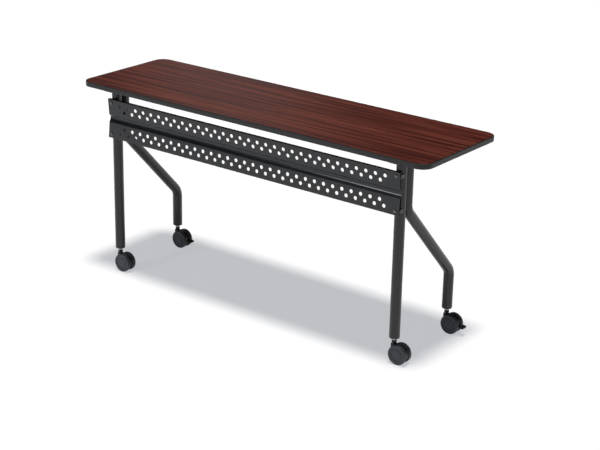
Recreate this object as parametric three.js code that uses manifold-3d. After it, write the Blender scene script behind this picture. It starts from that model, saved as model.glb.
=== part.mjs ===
// Flip top training table on twin-wheel casters, with a perforated modesty panel.
// Millimetres, +Z up. The origin is on the floor under the middle of the closed top,
// +X runs along the table and -Y is the side that carries the modesty panel.
import * as THREE from 'three';
import { mergeGeometries, mergeVertices } from 'three/addons/utils/BufferGeometryUtils.js';
import Module from 'manifold-3d';

const wasm = await Module();
wasm.setup();

// Fits
const SEAT = 0.2;            // gap between pieces that rest on each other
const RUN = 0.4;             // gap round a turning shaft

// Facets
const ROUND_SIDES = 10;      // of a small round bar or bore
const ARC_STEPS = 3;         // half the facets of a rounded corner

// Tabletop
const TOP_LENGTH = 1524;
const TOP_DEPTH = 444.5;
const TABLE_HEIGHT = 736.6;
const TOP_THICK = 19;
const TOP_CORNER_R = 42;
const LAMINATE = 1;
const BAND = 3;
const TONGUE_DEPTH = 8;      // barb of the edge band in the core's groove
const TONGUE_THICK = 2.4;

// Legs
const TUBE_R = 18.5;
const TUBE_WALL = 1.5;
const TUBE_SIDES = 16;
const FRONT_LEG_INSET = 57.25; // from the top's front edge to the front tube's axis
const REAR_FOOT_INSET = 61.25; // from the top's rear edge to the rear tube's axis at the floor
const TUBE_GAP = 1.6;        // between the front and rear tube at the top
const BEND_DROP = 184.1;     // underside of the top to the rear tube's upper corner
const BEND_R = 55;
const BEND_STEPS = 3;
const SLANT = 43.6;          // degrees from straight down

// Head plate, leg tie and rest pad
const HEAD_WIDTH = 70;
const HEAD_THICK = 4;
const HEAD_FRONT = 21;       // reach in front of the front tube's axis
const HEAD_BACK = 35;        // reach behind the rear tube's axis
const CATCH_WIDTH = 32;
const CATCH_DROP = 33;
const CATCH_RIM = 3;         // metal left under the catch window
const WINDOW_HEIGHT = 17;
const TIE_WIDTH = 16;
const TIE_DEPTH = 14;
const TIE_HEIGHT = 40;
const TIE_RISE = 14;         // above the end of the upper bend
const PAD_WIDTH = 44;
const PAD_DEPTH = 22;
const PAD_BACK = 11;         // pad's rear edge to the head plate's rear edge

// Hinges
const HINGE_FRONT = 30;      // hinge axis in front of the front tube's axis
const BARREL_R = 5.2;
const HINGE_PIN_R = 2.6;
const LEAF_THICK = 3;
const LEAF_WIDTH = 64;
const LEAF_REACH = 60;
const KNUCKLES = 5;
const KNUCKLE_GAP = 0.5;

// Modesty panel
const PANEL_INSET = 112;      // from the top's end to the panel's end
const PANEL_OVERHANG = 15;   // panel's end past the axis of the legs
const PANEL_HEIGHT = 148;
const PANEL_DROP = 109.6;    // underside of the top to the panel's middle line
const PANEL_GAP = 0.5;       // back of the groove to the front tubes
const PANEL_LEAN = 5.5;      // how far each flat falls back towards the groove
const SHEET = 1.5;
const FLANGE = 12;
const GROOVE_TOP = 13;       // heights from the panel's middle line
const GROOVE_FLOOR_TOP = 6;
const GROOVE_FLOOR_BOTTOM = -3;
const GROOVE_BOTTOM = -16;
const GROOVE_DEPTH = 6.5;
const HOLE_R = 6.6;
const HOLE_SIDES = 8;
const HOLE_PITCH = 38.1;
const OUTER_ROW = 52;
const INNER_ROW = 33.2;
const ROW_MARGIN = 55;       // least distance from the panel's end to a hole's middle

// Panel standoffs and screws
const LUG_WIDTH = 34;
const LUG_HEIGHT = 15;
const LUG_OFFSET = 60;       // from the panel's middle line
const SCREW_R = 2.3;
const SCREW_HEAD_R = 5.5;
const SCREW_HEAD = 3.2;
const SCREW_CROWN_R = 3.9;   // flat end of the head
const SCREW_RIM = 1.1;       // straight side of the head
const SCREW_LENGTH = 12;

// Release bar
const BAR_BACK = 17;         // bar axis behind the catch
const BAR_DROP = 13.6;       // bar axis below the underside of the top
const BAR_R = 5;
const BAR_OVERHANG = 12;     // bar end past the hook's middle
const COLLAR_R = 9;
const HOOK_WIDTH = 13;
const HOOK_ARM = 12;
const HOOK_DROP = 28;        // bar axis to the bottom of the nose
const NOSE_HEIGHT = 7;
const NOSE_SLOPE = 3.5;
const NOSE_CLEAR = 0.8;      // nose tip to the catch when the bar is released
const PADDLE_WIDTH = 90;
const PADDLE_REACH = 74;
const PADDLE_THICK = 4;
const PADDLE_LIP = 9;
const PADDLE_DROP = 2.5;     // bar axis to the top of the paddle
const BRACKET_INSET = 205;   // from the legs towards the middle
const BRACKET_WIDTH = 24;
const BRACKET_FOOT = 44;
const BRACKET_FOOT_THICK = 3;
const BRACKET_NECK = 12;

// Casters
const WHEEL_R = 35;
const WHEEL_WIDTH = 14;
const WHEEL_GAP = 1;         // wheel to hood
const WHEEL_SIDES = 16;
const TREAD_ROUND = 3;
const FACE_RIM = 5;          // raised rim of the wheel's outer face
const FACE_DISH = 1.5;
const TRAIL = 24;            // swivel axis to axle
const HOOD_WIDTH = 13;
const HOOD_R = 32.5;
const HOOD_TOP = 32.5;       // heights in the hood are from the axle
const HOOD_START = -20;      // degrees from +X where the hood's arc begins
const HOOD_BACK_Z = 6;
const HOOD_BELLY_Z = -15;
const NECK_WIDTH = 20;
const BOSS_R = 8.5;
const BOSS_HEIGHT = 12.5;
const AXLE_R = 4;
const AXLE_BITE = 9;         // axle length inside each wheel
const PIVOT_R = 3.5;
const PIVOT_DEPTH = 20;
const STEM_COLLAR_R = 7.5;
const STEM_COLLAR = 2.4;
const STEM_SHOW = 5.3;       // bare stem between its collar and the plug
const STEM_R = 5.5;
const STEM_CHAMFER = 1;
const STEM_LENGTH = 30;
const PLUG_LIP = 3;
const PLUG_LIP_EDGE = 0.5;   // tube's outside to the rim of the plug's lip
const PLUG_CHAMFER = 1.5;
const PLUG_DEPTH = 30;

// Brake levers of the rear casters
const BRAKE_PIVOT_X = 24;
const BRAKE_PIVOT_Z = -2;
const BRAKE_PIN_R = 2.4;
const BRAKE_EYE_R = 7;
const BRAKE_ARM = 5.6;
const BRAKE_SLOT_TOP = 10;
const PEDAL_START = 40;
const PEDAL_LENGTH = 13;
const PEDAL_WIDTH = 26;
const PEDAL_THICK = 7;
const PEDAL_FALL = 3;        // how far the pedal's top slopes down to its tip
const PEDAL_ROUND = 4;

// Heights and places that follow from the sizes above
const UNDERSIDE = TABLE_HEIGHT - TOP_THICK;
const PANEL_LENGTH = TOP_LENGTH - 2 * PANEL_INSET;
const LEG_X = PANEL_LENGTH / 2 - PANEL_OVERHANG;
const FRONT_LEG_Y = FRONT_LEG_INSET - TOP_DEPTH / 2;
const REAR_LEG_Y = FRONT_LEG_Y + 2 * TUBE_R + TUBE_GAP;
const REAR_FOOT_Y = TOP_DEPTH / 2 - REAR_FOOT_INSET;
const SLANT_ANGLE = THREE.MathUtils.degToRad(SLANT);
const BEND_TANGENT = BEND_R * Math.tan(SLANT_ANGLE / 2);
const REAR_BEND_Z = UNDERSIDE - BEND_DROP;
const TIE_Z = REAR_BEND_Z + BEND_TANGENT + TIE_RISE;
const HINGE_Y = FRONT_LEG_Y - HINGE_FRONT;
const HINGE_Z = UNDERSIDE - 2 * SEAT - BARREL_R;
const HEAD_TOP = HINGE_Z - BARREL_R - SEAT;
const HEAD_BOTTOM = HEAD_TOP - HEAD_THICK;
const HEAD_REAR_Y = REAR_LEG_Y + HEAD_BACK;
const PANEL_Z = UNDERSIDE - PANEL_DROP;
const PANEL_FRONT_Y = FRONT_LEG_Y - TUBE_R - PANEL_GAP - SHEET - GROOVE_DEPTH - PANEL_LEAN;
const BAR_Y = HEAD_REAR_Y + BAR_BACK;
const BAR_Z = UNDERSIDE - BAR_DROP;
const AXLE_Z = WHEEL_R;
const BOSS_TOP = AXLE_Z + HOOD_TOP + BOSS_HEIGHT;
const COLLAR_BOTTOM = BOSS_TOP + SEAT;
const PLUG_BOTTOM = COLLAR_BOTTOM + STEM_COLLAR + STEM_SHOW;
const LEG_FOOT_Z = PLUG_BOTTOM + PLUG_LIP + SEAT;
const PLUG_LIP_R = TUBE_R - PLUG_LIP_EDGE;

const SIDES = [['left', -1], ['right', 1]];
const CORNERS = SIDES.flatMap(([side, sign]) => [
  [`${side}_front`, sign * LEG_X, FRONT_LEG_Y, false],
  [`${side}_rear`, sign * LEG_X, REAR_FOOT_Y, true],
]);

const table = new THREE.Group();

// Finishes
const finish = (color, roughness, metalness) =>
  new THREE.MeshStandardMaterial({ color, roughness, metalness });
const MAHOGANY = finish(0x5e3a36, 0.45, 0);
const CHIPBOARD = finish(0xb89a6c, 0.9, 0);
const BLACK_EDGE = finish(0x2a2c2e, 0.55, 0);
const BLACK_COAT = finish(0x3a3c40, 0.5, 0.3);
const BLACK_PLASTIC = finish(0x2c2e32, 0.55, 0);
const ZINC = finish(0xc4c6c8, 0.35, 1);
const RUBBER = finish(0x1b1b1c, 0.85, 0);

// Merge the shared corners of a closed mesh and turn its faces outwards.
function weld(geometry) {
  const bare = geometry.clone();
  bare.deleteAttribute('normal');
  bare.deleteAttribute('uv');
  const merged = mergeVertices(bare, 1e-4);
  const position = merged.getAttribute('position');
  const corners = [0, 1, 2].map(() => new THREE.Vector3());
  const faces = [];
  let volume = 0;
  for (let i = 0; i < merged.index.count; i += 3) {
    const face = [0, 1, 2].map((k) => merged.index.getX(i + k));
    if (new Set(face).size < 3) continue;
    face.forEach((vertex, k) => corners[k].fromBufferAttribute(position, vertex));
    volume += corners[0].dot(corners[1].clone().cross(corners[2]));
    faces.push(face);
  }
  merged.setIndex(faces.flatMap((face) => (volume < 0 ? face.reverse() : face)));
  return merged;
}

function solid(geometry) {
  const closed = weld(geometry);
  return new wasm.Manifold(new wasm.Mesh({
    numProp: 3,
    vertProperties: new Float32Array(closed.getAttribute('position').array),
    triVerts: new Uint32Array(closed.index.array),
  }));
}

function fromSolid(body) {
  const mesh = body.getMesh();
  const geometry = new THREE.BufferGeometry();
  geometry.setAttribute('position', new THREE.BufferAttribute(new Float32Array(mesh.vertProperties), 3));
  geometry.setIndex(new THREE.BufferAttribute(new Uint32Array(mesh.triVerts), 1));
  return geometry;
}

const join = (...parts) => fromSolid(parts.map(solid).reduce((a, b) => a.add(b)));
const cut = (body, ...tools) => fromSolid(tools.map(solid).reduce((a, b) => a.subtract(b), solid(body)));

function add(name, geometry, material) {
  const mesh = new THREE.Mesh(weld(geometry), material);
  mesh.name = name;
  table.add(mesh);
}

// Basic forms
function box([x0, x1], [y0, y1], [z0, z1]) {
  return new THREE.BoxGeometry(x1 - x0, y1 - y0, z1 - z0)
    .translate((x0 + x1) / 2, (y0 + y1) / 2, (z0 + z1) / 2);
}

const around = (middle, width) => [middle - width / 2, middle + width / 2];

// A shape given in Y and Z, run along X.
function alongX(shape, [x0, x1]) {
  const axes = new THREE.Matrix4().makeBasis(
    new THREE.Vector3(0, 1, 0), new THREE.Vector3(0, 0, 1), new THREE.Vector3(1, 0, 0));
  return extrude(shape, x1 - x0).applyMatrix4(axes).translate(x0, 0, 0);
}

// A shape given in X and Z, run along Y.
function alongY(shape, [y0, y1]) {
  return extrude(shape, y1 - y0).rotateX(Math.PI / 2).translate(0, y1, 0);
}

const alongZ = (shape, [z0, z1]) => extrude(shape, z1 - z0).translate(0, 0, z0);

function extrude(shape, depth) {
  return new THREE.ExtrudeGeometry(shape, { depth, bevelEnabled: false, curveSegments: ARC_STEPS });
}

// A round bar between two stations of an axis, with its other two coordinates given.
function barX(r, [x0, x1], y, z, sides = ROUND_SIDES) {
  return new THREE.CylinderGeometry(r, r, x1 - x0, sides).rotateZ(-Math.PI / 2)
    .translate((x0 + x1) / 2, y, z);
}

function barY(r, [y0, y1], x, z, sides = ROUND_SIDES) {
  return new THREE.CylinderGeometry(r, r, y1 - y0, sides).translate(x, (y0 + y1) / 2, z);
}

function barZ(r, [z0, z1], x, y, sides = ROUND_SIDES) {
  return new THREE.CylinderGeometry(r, r, z1 - z0, sides).rotateX(Math.PI / 2)
    .translate(x, y, (z0 + z1) / 2);
}

// A profile of radii and heights turned about an upright axis.
function turned(profile, x, y, sides = ROUND_SIDES) {
  const points = profile.map(([r, z]) => new THREE.Vector2(r, z));
  return new THREE.LatheGeometry(points, sides).rotateX(Math.PI / 2).translate(x, y, 0);
}

const polygon = (points) => new THREE.Shape(points.map(([a, b]) => new THREE.Vector2(a, b)));

// A rectangle with round corners about the middle, in the plan of the table.
function roundedPlan(length, depth, radius) {
  const [x, y] = [length / 2, depth / 2];
  return new THREE.Shape()
    .absarc(x - radius, y - radius, radius, 0, Math.PI / 2)
    .absarc(radius - x, y - radius, radius, Math.PI / 2, Math.PI)
    .absarc(radius - x, radius - y, radius, Math.PI, 1.5 * Math.PI)
    .absarc(x - radius, radius - y, radius, 1.5 * Math.PI, 2 * Math.PI);
}

// The tabletop's outline, drawn in by an inset.
function topPlan(inset) {
  return roundedPlan(TOP_LENGTH - 2 * inset, TOP_DEPTH - 2 * inset, TOP_CORNER_R - inset);
}

// Tabletop: chipboard core, laminate face and a T-shaped edge band
function buildTop() {
  const coreTop = TABLE_HEIGHT - LAMINATE - SEAT;
  const middle = (UNDERSIDE + TABLE_HEIGHT) / 2;
  const groove = around(middle, TONGUE_THICK + 2 * SEAT);
  const grooveInset = BAND + TONGUE_DEPTH + 2 * SEAT;
  const core = cut(
    alongZ(topPlan(BAND + SEAT), [UNDERSIDE, coreTop]),
    cut(alongZ(topPlan(0), groove), alongZ(topPlan(grooveInset), around(middle, TOP_THICK))),
  );
  add('tabletop_board', core, CHIPBOARD);
  add('top_laminate', alongZ(topPlan(BAND + SEAT), [coreTop + SEAT, TABLE_HEIGHT]), MAHOGANY);
  const band = join(
    cut(alongZ(topPlan(0), [UNDERSIDE, TABLE_HEIGHT]), alongZ(topPlan(BAND), around(middle, 2 * TOP_THICK))),
    cut(
      alongZ(topPlan(BAND / 2), around(middle, TONGUE_THICK)),
      alongZ(topPlan(BAND + TONGUE_DEPTH), around(middle, TOP_THICK)),
    ),
  );
  add('edge_band', band, BLACK_EDGE);
}

// A tube swept along stations [y, z, slope], where slope is the angle from straight down.
function sweptTube(x, stations) {
  const radii = [TUBE_R, TUBE_R - TUBE_WALL];
  const points = [];
  for (const [y, z, slope] of stations) {
    for (const r of radii) {
      for (let k = 0; k < TUBE_SIDES; k += 1) {
        const turn = (2 * Math.PI * k) / TUBE_SIDES;
        const across = r * Math.sin(turn);
        points.push(x + r * Math.cos(turn), y + across * Math.cos(slope), z + across * Math.sin(slope));
      }
    }
  }
  const faces = [];
  const vertex = (ring, wall, k) => (ring * 2 + wall) * TUBE_SIDES + (k % TUBE_SIDES);
  const quad = (a, b, c, d) => faces.push(a, b, c, a, c, d);
  const last = stations.length - 1;
  for (let k = 0; k < TUBE_SIDES; k += 1) {
    for (let ring = 0; ring < last; ring += 1) {
      quad(vertex(ring, 0, k), vertex(ring + 1, 0, k), vertex(ring + 1, 0, k + 1), vertex(ring, 0, k + 1));
      quad(vertex(ring, 1, k), vertex(ring, 1, k + 1), vertex(ring + 1, 1, k + 1), vertex(ring + 1, 1, k));
    }
    quad(vertex(0, 0, k), vertex(0, 0, k + 1), vertex(0, 1, k + 1), vertex(0, 1, k));
    quad(vertex(last, 0, k), vertex(last, 1, k), vertex(last, 1, k + 1), vertex(last, 0, k + 1));
  }
  const geometry = new THREE.BufferGeometry();
  geometry.setAttribute('position', new THREE.Float32BufferAttribute(points, 3));
  geometry.setIndex(faces);
  return geometry;
}

// Stations of the rear tube: down, out on the slant, and down again to the caster
function rearLegStations() {
  const lowerBendZ = REAR_BEND_Z - (REAR_FOOT_Y - REAR_LEG_Y) / Math.tan(SLANT_ANGLE);
  const upper = [];
  const lower = [];
  for (let k = 0; k <= BEND_STEPS; k += 1) {
    const angle = (SLANT_ANGLE * k) / BEND_STEPS;
    const fall = BEND_R * Math.sin(angle);
    const out = BEND_R * (1 - Math.cos(angle));
    upper.push([REAR_LEG_Y + out, REAR_BEND_Z + BEND_TANGENT - fall, angle]);
    lower.unshift([REAR_FOOT_Y - out, lowerBendZ - BEND_TANGENT + fall, angle]);
  }
  return [[REAR_LEG_Y, HEAD_BOTTOM - SEAT, 0], ...upper, ...lower, [REAR_FOOT_Y, LEG_FOOT_Z, 0]];
}

// Leg frame: two tubes a side under a head plate, tied together above the bend
function buildLegs() {
  for (const [side, sign] of SIDES) {
    const x = sign * LEG_X;
    const straight = [[FRONT_LEG_Y, HEAD_BOTTOM - SEAT, 0], [FRONT_LEG_Y, LEG_FOOT_Z, 0]];
    add(`${side}_front_leg`, sweptTube(x, straight), BLACK_COAT);
    add(`${side}_rear_leg`, sweptTube(x, rearLegStations()), BLACK_COAT);
    add(`${side}_head_plate`, headPlate(x), BLACK_COAT);
    add(`${side}_leg_tie`, legTie(x), BLACK_COAT);
    const padRear = HEAD_REAR_Y - PAD_BACK;
    const padHeights = [HEAD_TOP + SEAT, UNDERSIDE - SEAT];
    const pad = box(around(x, PAD_WIDTH), [padRear - PAD_DEPTH, padRear], padHeights);
    add(`${side}_rest_pad`, pad, RUBBER);
  }
}

// Plate welded on both tube ends, with a turned-down catch that has a window for the hook
function headPlate(x) {
  const catchBottom = HEAD_BOTTOM - CATCH_DROP;
  const windowBottom = catchBottom + CATCH_RIM;
  return cut(
    join(
      box(around(x, HEAD_WIDTH), [FRONT_LEG_Y - HEAD_FRONT, HEAD_REAR_Y], [HEAD_BOTTOM, HEAD_TOP]),
      box(around(x, CATCH_WIDTH), [HEAD_REAR_Y - HEAD_THICK, HEAD_REAR_Y], [catchBottom, HEAD_TOP]),
    ),
    box(around(x, HOOK_WIDTH + 2 * RUN), [HEAD_REAR_Y - 2 * HEAD_THICK, HEAD_REAR_Y + HEAD_THICK],
      [windowBottom, windowBottom + WINDOW_HEIGHT]),
  );
}

function legTie(x) {
  const heights = [TIE_Z, TIE_Z + TIE_HEIGHT];
  const bore = TUBE_R + SEAT;
  const past = [TIE_Z - SEAT, TIE_Z + TIE_HEIGHT + SEAT];
  return cut(
    box(around(x, TIE_WIDTH), around((FRONT_LEG_Y + REAR_LEG_Y) / 2, TIE_DEPTH), heights),
    barZ(bore, past, x, FRONT_LEG_Y, 2 * TUBE_SIDES),
    barZ(bore, past, x, REAR_LEG_Y, 2 * TUBE_SIDES),
  );
}

// A butt hinge a side: the lower leaf on the head plate, the upper leaf under the top
function buildHinges() {
  for (const [side, sign] of SIDES) {
    const x = sign * LEG_X;
    const frameBottom = HINGE_Z - BARREL_R;
    const topSeat = UNDERSIDE - SEAT;
    add(`${side}_hinge_frame_leaf`, hingeLeaf(x, 0, [frameBottom, frameBottom + LEAF_THICK]), BLACK_COAT);
    add(`${side}_hinge_top_leaf`, hingeLeaf(x, 1, [topSeat - LEAF_THICK, topSeat]), BLACK_COAT);
    add(`${side}_hinge_pin`, barX(HINGE_PIN_R, around(x, LEAF_WIDTH), HINGE_Y, HINGE_Z), ZINC);
  }
}

// A leaf with every second knuckle of the barrel, counted from the first one it owns
function hingeLeaf(x, first, heights) {
  const pitch = LEAF_WIDTH / KNUCKLES;
  const clearY = HINGE_Y + BARREL_R + RUN;
  const forms = [box(around(x, LEAF_WIDTH), [clearY, HINGE_Y + LEAF_REACH], heights)];
  for (let k = first; k < KNUCKLES; k += 2) {
    const span = around(x - LEAF_WIDTH / 2 + (k + 0.5) * pitch, pitch - KNUCKLE_GAP);
    forms.push(barX(BARREL_R, span, HINGE_Y, HINGE_Z));
    forms.push(box(span, [HINGE_Y, clearY + LEAF_THICK], heights));
  }
  return cut(join(...forms), barX(HINGE_PIN_R + RUN, around(x, 2 * LEAF_WIDTH), HINGE_Y, HINGE_Z));
}

// Front face of the modesty panel as [y, height from the middle line], from top to bottom
function panelFace() {
  const edge = PANEL_HEIGHT / 2;
  const fold = PANEL_FRONT_Y + PANEL_LEAN;
  const floor = fold + GROOVE_DEPTH;
  return [
    [PANEL_FRONT_Y + FLANGE, edge], [PANEL_FRONT_Y, edge], [fold, GROOVE_TOP],
    [floor, GROOVE_FLOOR_TOP], [floor, GROOVE_FLOOR_BOTTOM],
    [fold, GROOVE_BOTTOM], [PANEL_FRONT_Y, -edge], [PANEL_FRONT_Y + FLANGE, -edge],
  ];
}

// A line of points moved sideways by a distance, with mitred corners
function offsetLine(points, distance) {
  const line = points.map(([a, b]) => new THREE.Vector2(a, b));
  const normals = line.slice(1).map((end, k) => {
    const along = end.clone().sub(line[k]).normalize();
    return new THREE.Vector2(-along.y, along.x);
  });
  return line.map((point, k) => {
    const before = normals[Math.max(k - 1, 0)];
    const after = normals[Math.min(k, normals.length - 1)];
    const mitre = before.clone().add(after);
    const moved = point.clone().addScaledVector(mitre, distance / (1 + before.dot(after)));
    return [moved.x, moved.y];
  });
}

// Y of a flat's front face at a height from the middle line
function flatFrontY(height) {
  const edge = PANEL_HEIGHT / 2;
  const groove = height > 0 ? GROOVE_TOP : GROOVE_BOTTOM;
  return PANEL_FRONT_Y + (PANEL_LEAN * (edge - Math.abs(height))) / (edge - Math.abs(groove));
}

// Modesty panel: one folded sheet with four rows of round holes
function buildPanel() {
  const face = panelFace();
  const back = offsetLine(face, SHEET);
  const outline = [...face, ...back.reverse()].map(([y, height]) => [y, PANEL_Z + height]);
  const through = [PANEL_FRONT_Y - SHEET, PANEL_FRONT_Y + FLANGE];
  const holes = [];
  const most = 1 + Math.floor((PANEL_LENGTH - 2 * ROW_MARGIN) / HOLE_PITCH);
  const rows = [[OUTER_ROW, most], [INNER_ROW, most - 1], [-INNER_ROW, most - 1], [-OUTER_ROW, most]];
  for (const [height, count] of rows) {
    for (let k = 0; k < count; k += 1) {
      const x = (k - (count - 1) / 2) * HOLE_PITCH;
      holes.push(barY(HOLE_R, through, x, PANEL_Z + height, HOLE_SIDES));
    }
  }
  for (const [, sign] of SIDES) {
    for (const height of [LUG_OFFSET, -LUG_OFFSET]) {
      holes.push(barY(SCREW_R + RUN, through, sign * LEG_X, PANEL_Z + height, HOLE_SIDES));
    }
  }
  const sheet = alongX(polygon(outline), around(0, PANEL_LENGTH));
  add('modesty_panel', cut(sheet, mergeGeometries(holes)), BLACK_COAT);
}

// Standoffs between the front tubes and the panel, each with a pan-head screw
function buildStandoffs() {
  for (const [side, sign] of SIDES) {
    for (const [level, height] of [['upper', LUG_OFFSET], ['lower', -LUG_OFFSET]]) {
      add(`${side}_${level}_standoff`, standoff(sign * LEG_X, height), BLACK_COAT);
      add(`${side}_${level}_panel_screw`, panelScrew(sign * LEG_X, height), ZINC);
    }
  }
}

// Seat of the screw head on the flat, at the head's foremost edge
function headSeatY(height) {
  return Math.min(flatFrontY(height - SCREW_HEAD_R), flatFrontY(height + SCREW_HEAD_R)) - SEAT;
}

// A lug saddled on the front tube, with a blind hole for the panel's screw
function standoff(x, height) {
  const sheetDepth = SHEET * Math.hypot(1, PANEL_LEAN / (PANEL_HEIGHT / 2 - GROOVE_TOP));
  const [low, high] = around(height, LUG_HEIGHT);
  const seat = (level) => flatFrontY(level) + sheetDepth + SEAT;
  const profile = polygon([
    [seat(low), PANEL_Z + low], [FRONT_LEG_Y, PANEL_Z + low],
    [FRONT_LEG_Y, PANEL_Z + high], [seat(high), PANEL_Z + high],
  ]);
  const screwEnd = headSeatY(height) + SCREW_LENGTH + RUN;
  return cut(
    alongX(profile, around(x, LUG_WIDTH)),
    barZ(TUBE_R + SEAT, around(PANEL_Z + height, 2 * LUG_HEIGHT), x, FRONT_LEG_Y, 2 * TUBE_SIDES),
    barY(SCREW_R + RUN, [PANEL_FRONT_Y, screwEnd], x, PANEL_Z + height, HOLE_SIDES),
  );
}

function panelScrew(x, height) {
  const seat = headSeatY(height);
  const profile = [
    [0, -SCREW_HEAD], [SCREW_CROWN_R, -SCREW_HEAD], [SCREW_HEAD_R, -SCREW_RIM],
    [SCREW_HEAD_R, 0], [SCREW_R, 0], [SCREW_R, SCREW_LENGTH], [0, SCREW_LENGTH],
  ];
  const points = profile.map(([r, along]) => new THREE.Vector2(r, along));
  return new THREE.LatheGeometry(points, HOLE_SIDES).translate(x, seat, PANEL_Z + height);
}

// Release bar under the top: hooks at its ends, a pull paddle at its middle
function buildReleaseBar() {
  const reach = LEG_X + BAR_OVERHANG;
  add('release_rod', barX(BAR_R, [-reach, reach], BAR_Y, BAR_Z), ZINC);
  add('release_paddle', releasePaddle(), BLACK_PLASTIC);
  for (const [side, sign] of SIDES) {
    add(`${side}_latch_hook`, latchHook(sign * LEG_X), ZINC);
    add(`${side}_rod_bracket`, rodBracket(sign * (LEG_X - BRACKET_INSET)), BLACK_PLASTIC);
  }
}

function latchHook(x) {
  const width = around(x, HOOK_WIDTH);
  const noseBottom = BAR_Z - HOOK_DROP;
  const noseTip = HEAD_REAR_Y + NOSE_CLEAR;
  const nose = polygon([
    [BAR_Y, noseBottom], [BAR_Y, noseBottom + NOSE_HEIGHT],
    [noseTip, noseBottom + NOSE_HEIGHT], [noseTip, noseBottom + NOSE_SLOPE],
    [noseTip + NOSE_SLOPE, noseBottom],
  ]);
  return cut(
    join(
      barX(COLLAR_R, width, BAR_Y, BAR_Z),
      box(width, around(BAR_Y, HOOK_ARM), [noseBottom, BAR_Z]),
      alongX(nose, width),
    ),
    barX(BAR_R + SEAT, around(x, 2 * HOOK_WIDTH), BAR_Y, BAR_Z),
  );
}

function releasePaddle() {
  const width = around(0, PADDLE_WIDTH);
  const end = BAR_Y + PADDLE_REACH;
  const top = BAR_Z - PADDLE_DROP;
  const blade = polygon([
    [BAR_Y, top - PADDLE_THICK], [BAR_Y, top], [end, top],
    [end + PADDLE_THICK, top - PADDLE_LIP], [end, top - PADDLE_LIP], [end - PADDLE_THICK, top - PADDLE_THICK],
  ]);
  return cut(
    join(barX(COLLAR_R, width, BAR_Y, BAR_Z), alongX(blade, width)),
    barX(BAR_R + SEAT, around(0, 2 * PADDLE_WIDTH), BAR_Y, BAR_Z),
  );
}

// A bearing block that hangs the release bar from the underside of the top
function rodBracket(x) {
  const width = around(x, BRACKET_WIDTH);
  const footTop = UNDERSIDE - SEAT;
  return cut(
    join(
      barX(COLLAR_R, width, BAR_Y, BAR_Z),
      box(width, around(BAR_Y, BRACKET_NECK), [BAR_Z, footTop]),
      box(width, around(BAR_Y, BRACKET_FOOT), [footTop - BRACKET_FOOT_THICK, footTop]),
    ),
    barX(BAR_R + RUN, around(x, 2 * BRACKET_WIDTH), BAR_Y, BAR_Z),
  );
}

// Casters: plug and stem in the tube, hood on the stem, axle and two wheels in the hood
function buildCasters() {
  for (const [corner, x, y, braked] of CORNERS) {
    const axleX = x + TRAIL;
    add(`${corner}_leg_plug`, legPlug(x, y), BLACK_PLASTIC);
    add(`${corner}_caster_stem`, casterStem(x, y), ZINC);
    add(`${corner}_caster_hood`, casterHood(axleX, y, braked), BLACK_PLASTIC);
    const bite = HOOD_WIDTH / 2 + WHEEL_GAP + AXLE_BITE;
    add(`${corner}_caster_axle`, barY(AXLE_R, [y - bite, y + bite], axleX, AXLE_Z), ZINC);
    add(`${corner}_wheel_a`, casterWheel(axleX, y, -1), BLACK_PLASTIC);
    add(`${corner}_wheel_b`, casterWheel(axleX, y, 1), BLACK_PLASTIC);
    if (braked) add(`${corner}_brake_lever`, brakeLever(axleX, y), BLACK_PLASTIC);
  }
}

function legPlug(x, y) {
  const bore = STEM_R + SEAT;
  const body = TUBE_R - TUBE_WALL - 2 * SEAT;
  const lipTop = LEG_FOOT_Z - SEAT;
  const top = LEG_FOOT_Z + PLUG_DEPTH;
  return turned([
    [bore, PLUG_BOTTOM], [PLUG_LIP_R - PLUG_CHAMFER, PLUG_BOTTOM], [PLUG_LIP_R, PLUG_BOTTOM + PLUG_CHAMFER],
    [PLUG_LIP_R, lipTop],
    [body, lipTop], [body, top], [bore, top], [bore, PLUG_BOTTOM],
  ], x, y, TUBE_SIDES);
}

function casterStem(x, y) {
  const collarTop = COLLAR_BOTTOM + STEM_COLLAR;
  const top = collarTop + STEM_LENGTH;
  return turned([
    [0, BOSS_TOP - PIVOT_DEPTH], [PIVOT_R, BOSS_TOP - PIVOT_DEPTH], [PIVOT_R, COLLAR_BOTTOM],
    [STEM_COLLAR_R, COLLAR_BOTTOM], [STEM_COLLAR_R, collarTop], [STEM_R, collarTop],
    [STEM_R, top - STEM_CHAMFER], [STEM_R - STEM_CHAMFER, top], [0, top],
  ], x, y);
}

// The hood fills the upper half between the wheels and rises to the swivel boss
function casterHood(axleX, y, braked) {
  const swivelX = axleX - TRAIL;
  const [neckBack, neckFront] = around(-TRAIL, NECK_WIDTH);
  const outline = new THREE.Shape();
  outline.absarc(0, 0, HOOD_R, THREE.MathUtils.degToRad(HOOD_START), Math.acos(neckFront / HOOD_R));
  outline.lineTo(neckFront, HOOD_TOP);
  outline.lineTo(neckBack, HOOD_TOP);
  outline.lineTo(neckBack, HOOD_BACK_Z);
  outline.lineTo(neckFront, HOOD_BELLY_Z);
  outline.lineTo(-neckFront, HOOD_BELLY_Z);
  const web = alongY(outline, around(y, HOOD_WIDTH)).translate(axleX, 0, AXLE_Z);
  const boss = barZ(BOSS_R, [AXLE_Z + HOOD_TOP, BOSS_TOP], swivelX, y);
  const body = cut(
    join(web, boss),
    barZ(PIVOT_R + RUN, [BOSS_TOP - PIVOT_DEPTH - SEAT, BOSS_TOP + SEAT], swivelX, y),
    barY(AXLE_R + SEAT, around(y, 2 * HOOD_WIDTH), axleX, AXLE_Z),
  );
  return braked ? brakeSlot(body, axleX, y) : body;
}

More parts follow.
